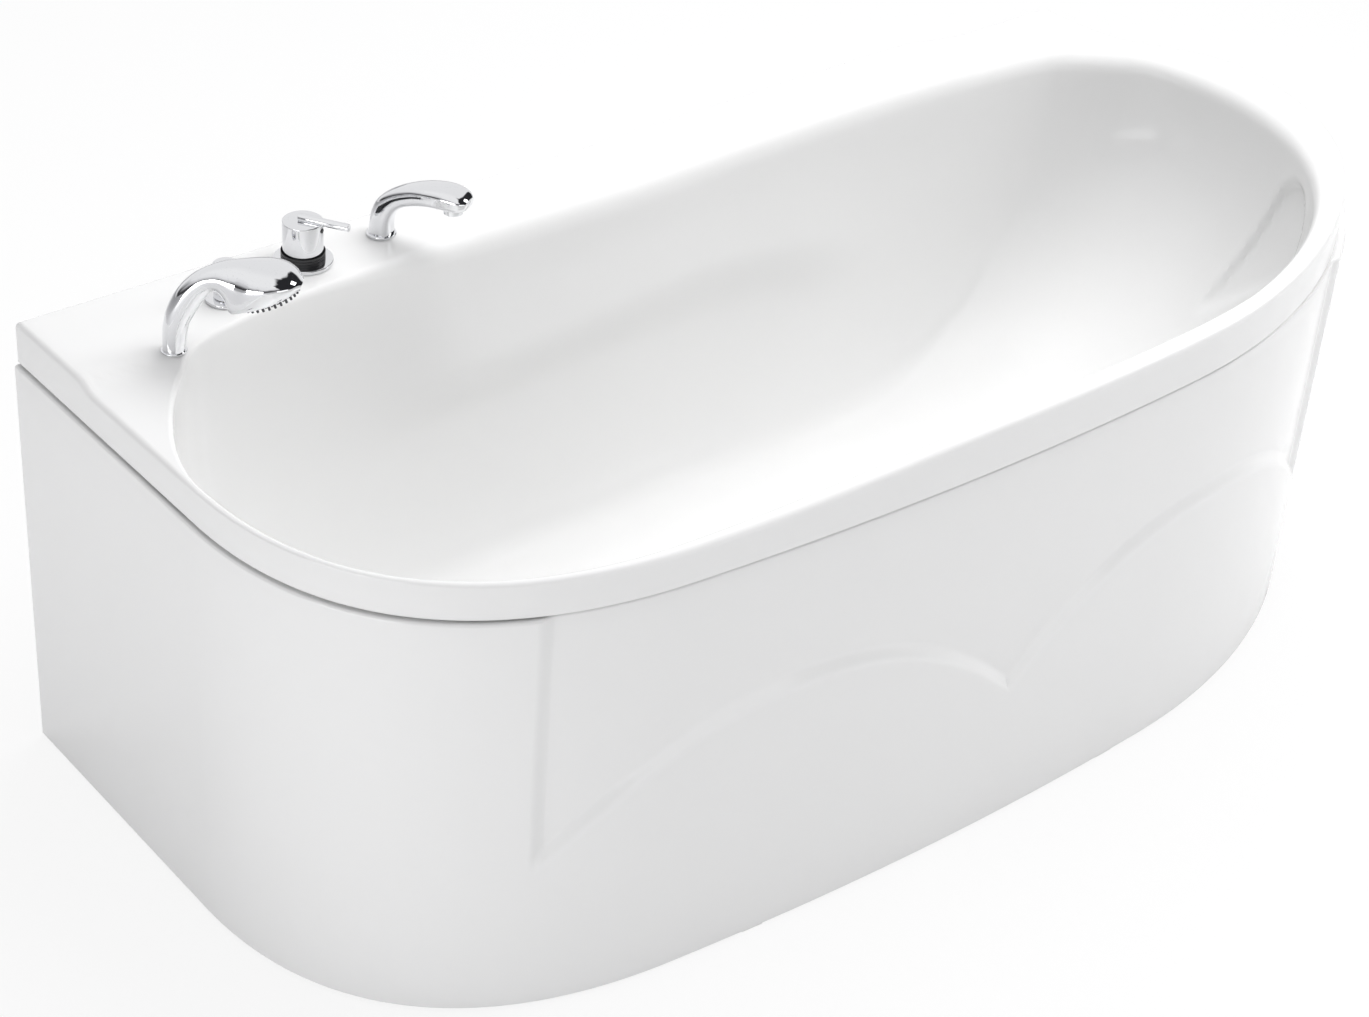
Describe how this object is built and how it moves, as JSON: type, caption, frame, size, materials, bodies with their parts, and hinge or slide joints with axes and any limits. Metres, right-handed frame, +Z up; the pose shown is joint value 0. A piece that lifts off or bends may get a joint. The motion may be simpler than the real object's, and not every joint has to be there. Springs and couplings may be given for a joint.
{
  "type": "bathtub",
  "caption": "Asymmetric white acrylic bathtub with an arched apron panel, a chrome deck set of lever mixer, diverter, spout and docked hand shower, a pop-up waste and a steel underframe.",
  "frame": {"origin": "on the floor, under the middle of the tub's length and depth", "axes": "+X along the wall from the foot end with the taps to the head end, +Y towards the wall, +Z up"},
  "size_m": [1.7997, 0.8155, 0.7316],
  "materials": {
    "glazed_acrylic": "glossy white sanitary acrylic with a fibreglass-backed underside",
    "panel_acrylic": "glossy white acrylic sheet, vacuum formed",
    "chrome": "polished chrome plate with faint water marks",
    "black_trim": "satin black plastic",
    "spray_grey": "satin grey spray plate",
    "nozzle_rubber": "soft dark silicone",
    "valve_brass": "cast brass, lightly dulled",
    "zinc_steel": "zinc plated steel",
    "frame_paint": "dark grey powder coat",
    "board_wood": "raw chipboard",
    "drain_plastic": "off-white polypropylene",
    "seal_rubber": "black rubber"
  },
  "bodies": {
    "tub": {"bath_shell": "glazed_acrylic", "front_panel": "panel_acrylic", "panel_clips": "zinc_steel", "panel_feet": "drain_plastic", "wall_brackets": "zinc_steel", "bearer_board": "board_wood", "frame_rails": "frame_paint", "frame_crossbars": "frame_paint", "deck_posts": "frame_paint", "post_pads": "seal_rubber", "foot_studs": "zinc_steel", "foot_nuts": "zinc_steel", "foot_pads": "black_trim", "waste_flange": "chrome", "waste_gasket": "seal_rubber", "waste_body": "drain_plastic", "trap_nut": "drain_plastic", "trap": "drain_plastic", "trap_outlet": "drain_plastic", "overflow_ring": "chrome", "overflow_gasket": "seal_rubber", "overflow_body": "drain_plastic", "overflow_pipe": "drain_plastic", "mixer_disc": "chrome", "mixer_ring": "black_trim", "mixer_body": "valve_brass", "inlet_tails": "valve_brass", "diverter_disc": "chrome", "diverter_body": "valve_brass", "spout_disc": "chrome", "spout_body": "chrome", "spout_aerator": "chrome", "spout_shank": "valve_brass", "dock_ring": "chrome", "dock_socket": "drain_plastic", "deck_washers": "seal_rubber", "deck_nuts": "valve_brass"},
    "mixer_turning": {"mixer_yoke": "valve_brass"},
    "mixer_lever": {"mixer_cap": "chrome", "lever_pin": "chrome", "lever_plug": "black_trim"},
    "diverter": {"diverter_knob": "chrome", "diverter_mark": "black_trim"},
    "overflow_handle": {"overflow_knob": "chrome"},
    "plug": {"waste_plug": "chrome"},
    "hand_shower": {"handset_shell": "chrome", "spray_plate": "spray_grey", "spray_nozzles": "nozzle_rubber", "hose_nut": "chrome"}
  },
  "joints": [
    {"name": "mixer_turn", "type": "hinge", "parent": "tub", "child": "mixer_turning", "pos_m": [-0.53802, 0.34752, 0.6516], "axis": [0, 0, 1], "range_deg": [-45, 45]},
    {"name": "mixer_tilt", "type": "hinge", "parent": "mixer_turning", "child": "mixer_lever", "pos_m": [-0.53802, 0.34752, 0.6516], "axis": [-0.8387, -0.5446, 0], "range_deg": [0, 20]},
    {"name": "diverter_turn", "type": "hinge", "parent": "tub", "child": "diverter", "pos_m": [-0.66294, 0.31948, 0.64], "axis": [0, 0, 1], "range_deg": [0, 90]},
    {"name": "overflow_turn", "type": "hinge", "parent": "tub", "child": "overflow_handle", "pos_m": [-0.85052, 0.12193, 0.505], "axis": [0.8928, -0.4505, 0], "range_deg": [0, 90]},
    {"name": "plug_lift", "type": "slide", "parent": "tub", "child": "plug", "axis": [0, 0, 1], "range_m": [0, 0.008]},
    {"name": "handset_slide", "type": "slide", "parent": "tub", "child": "hand_shower", "axis": [0, 0, 1], "range_m": [0, 0.15]}
  ],
  "couplings": [
    {"joint": "plug_lift", "follows": "overflow_turn", "m_per_rad": 0.00508}
  ]
}
